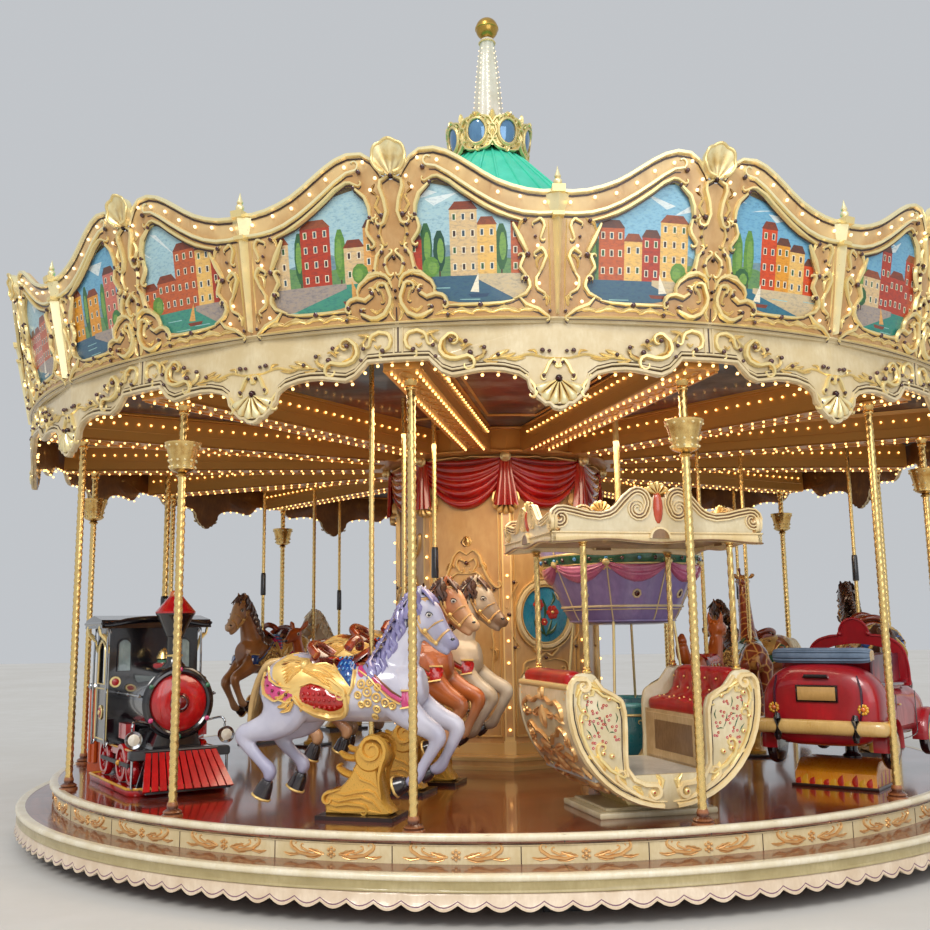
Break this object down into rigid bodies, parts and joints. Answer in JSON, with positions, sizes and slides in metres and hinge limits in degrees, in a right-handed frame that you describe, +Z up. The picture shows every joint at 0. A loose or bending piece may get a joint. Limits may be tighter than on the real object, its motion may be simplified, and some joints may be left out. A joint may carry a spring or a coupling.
{
  "type": "fairground carousel",
  "caption": "Fairground carousel with a turning deck, jumping horses, rides for children, a painted crown, a tented roof and a spire.",
  "frame": {"origin": "on the ground at the turning axis", "axes": "+Z up, -Y to the front, azimuth grows anticlockwise seen from above, the way it turns"},
  "size_m": [9.3774, 9.2958, 8.5003],
  "materials": {
    "frame_steel": "dark paint",
    "varnished_deck": "glossy red-brown varnish",
    "varnished_tread": "worn varnish",
    "riser_panels": "cream gloss paint with scroll ornaments",
    "skirt_paint": "cream moulded skirt",
    "column_panels": "tan and gold panels",
    "beam_gilding": "gold-brown gloss",
    "ceiling_painting": "painted skies",
    "valance_paint": "cream with gilt relief",
    "crown_paint": "cream and ochre with gilt relief",
    "roof_cover": "turquoise",
    "ornament_gilding": "gilt",
    "spire_paint": "pale with bulbs",
    "ball_gilding": "gilt",
    "chassis_red": "red gloss",
    "boiler_black": "black gloss",
    "cab_black": "black gloss",
    "coach_paint": "black with orange tubes",
    "gondola_cream": "cream with gilt scrolls",
    "canopy_cream": "cream with gilt scrolls",
    "seat_red": "tufted red",
    "car_red": "red gloss",
    "flame_paint": "orange and yellow flames",
    "basket_teal": "teal",
    "balloon_lilac": "lilac with pink swags",
    "grey_coat": "pale grey gloss",
    "chestnut_coat": "chestnut gloss",
    "white_coat": "white gloss",
    "brown_coat": "brown gloss",
    "dark_coat": "dark gloss",
    "fawn_coat": "orange-brown gloss",
    "giraffe_coat": "dark red with spots",
    "fox_coat": "orange gloss",
    "twisted_brass": "twisted brass sleeve",
    "stand_gilding": "gilt scroll"
  },
  "bodies": {
    "base": {"ground_frame": "frame_steel"},
    "carousel": {"deck": "varnished_deck", "riser": "riser_panels", "step_tread": "varnished_tread", "skirt": "skirt_paint", "centre_column": "column_panels", "beam_wheel": "beam_gilding", "ceiling": "ceiling_painting", "valance": "valance_paint", "crown_boards": "crown_paint", "roof": "roof_cover", "crown_ornament": "ornament_gilding", "spire": "spire_paint", "finial_ball": "ball_gilding", "locomotive_chassis": "chassis_red", "locomotive_boiler": "boiler_black", "locomotive_cab": "cab_black", "coach": "coach_paint", "gondola_hull": "gondola_cream", "gondola_canopy": "canopy_cream", "gondola_seat_rear": "seat_red", "gondola_seat_front": "seat_red", "car_body": "car_red", "car_stand": "flame_paint", "balloon_basket": "basket_teal", "balloon_envelope": "balloon_lilac", "fawn": "fawn_coat", "giraffe": "giraffe_coat", "fox": "fox_coat", "outer_pole_1": "twisted_brass", "outer_pole_2": "twisted_brass", "outer_pole_3": "twisted_brass", "outer_pole_4": "twisted_brass", "outer_pole_5": "twisted_brass", "outer_pole_6": "twisted_brass", "outer_pole_7": "twisted_brass", "outer_pole_8": "twisted_brass", "outer_pole_9": "twisted_brass", "outer_pole_10": "twisted_brass", "outer_pole_11": "twisted_brass", "outer_pole_12": "twisted_brass", "outer_pole_13": "twisted_brass", "outer_pole_14": "twisted_brass", "grey_horse_stand": "stand_gilding", "chestnut_horse_stand": "stand_gilding", "white_horse_stand": "stand_gilding", "brown_horse_stand": "stand_gilding", "dark_horse_stand": "stand_gilding", "roan_horse_stand": "stand_gilding", "bay_horse_stand": "stand_gilding", "pale_horse_stand": "stand_gilding"},
    "grey_horse_body": {"grey_horse": "grey_coat"},
    "chestnut_horse_body": {"chestnut_horse": "chestnut_coat"},
    "white_horse_body": {"white_horse": "white_coat"},
    "brown_horse_body": {"brown_horse": "brown_coat"},
    "dark_horse_body": {"dark_horse": "dark_coat"},
    "roan_horse_body": {"roan_horse": "chestnut_coat"},
    "bay_horse_body": {"bay_horse": "brown_coat"},
    "pale_horse_body": {"pale_horse": "white_coat"}
  },
  "joints": [
    {"name": "carousel_turn", "type": "hinge", "parent": "base", "child": "carousel", "pos_m": [0, 0, 0.33], "axis": [0, 0, 1], "continuous": true},
    {"name": "grey_horse_slide", "type": "slide", "parent": "carousel", "child": "grey_horse_body", "axis": [0, 0, 1], "range_m": [0, 0.2]},
    {"name": "chestnut_horse_slide", "type": "slide", "parent": "carousel", "child": "chestnut_horse_body", "axis": [0, 0, 1], "range_m": [-0.12, 0.08]},
    {"name": "white_horse_slide", "type": "slide", "parent": "carousel", "child": "white_horse_body", "axis": [0, 0, 1], "range_m": [-0.15, 0.05]},
    {"name": "brown_horse_slide", "type": "slide", "parent": "carousel", "child": "brown_horse_body", "axis": [0, 0, 1], "range_m": [-0.15, 0.05]},
    {"name": "dark_horse_slide", "type": "slide", "parent": "carousel", "child": "dark_horse_body", "axis": [0, 0, 1], "range_m": [-0.15, 0.05]},
    {"name": "roan_horse_slide", "type": "slide", "parent": "carousel", "child": "roan_horse_body", "axis": [0, 0, 1], "range_m": [-0.04, 0.16]},
    {"name": "bay_horse_slide", "type": "slide", "parent": "carousel", "child": "bay_horse_body", "axis": [0, 0, 1], "range_m": [-0.1, 0.1]},
    {"name": "pale_horse_slide", "type": "slide", "parent": "carousel", "child": "pale_horse_body", "axis": [0, 0, 1], "range_m": [0, 0.2]}
  ]
}
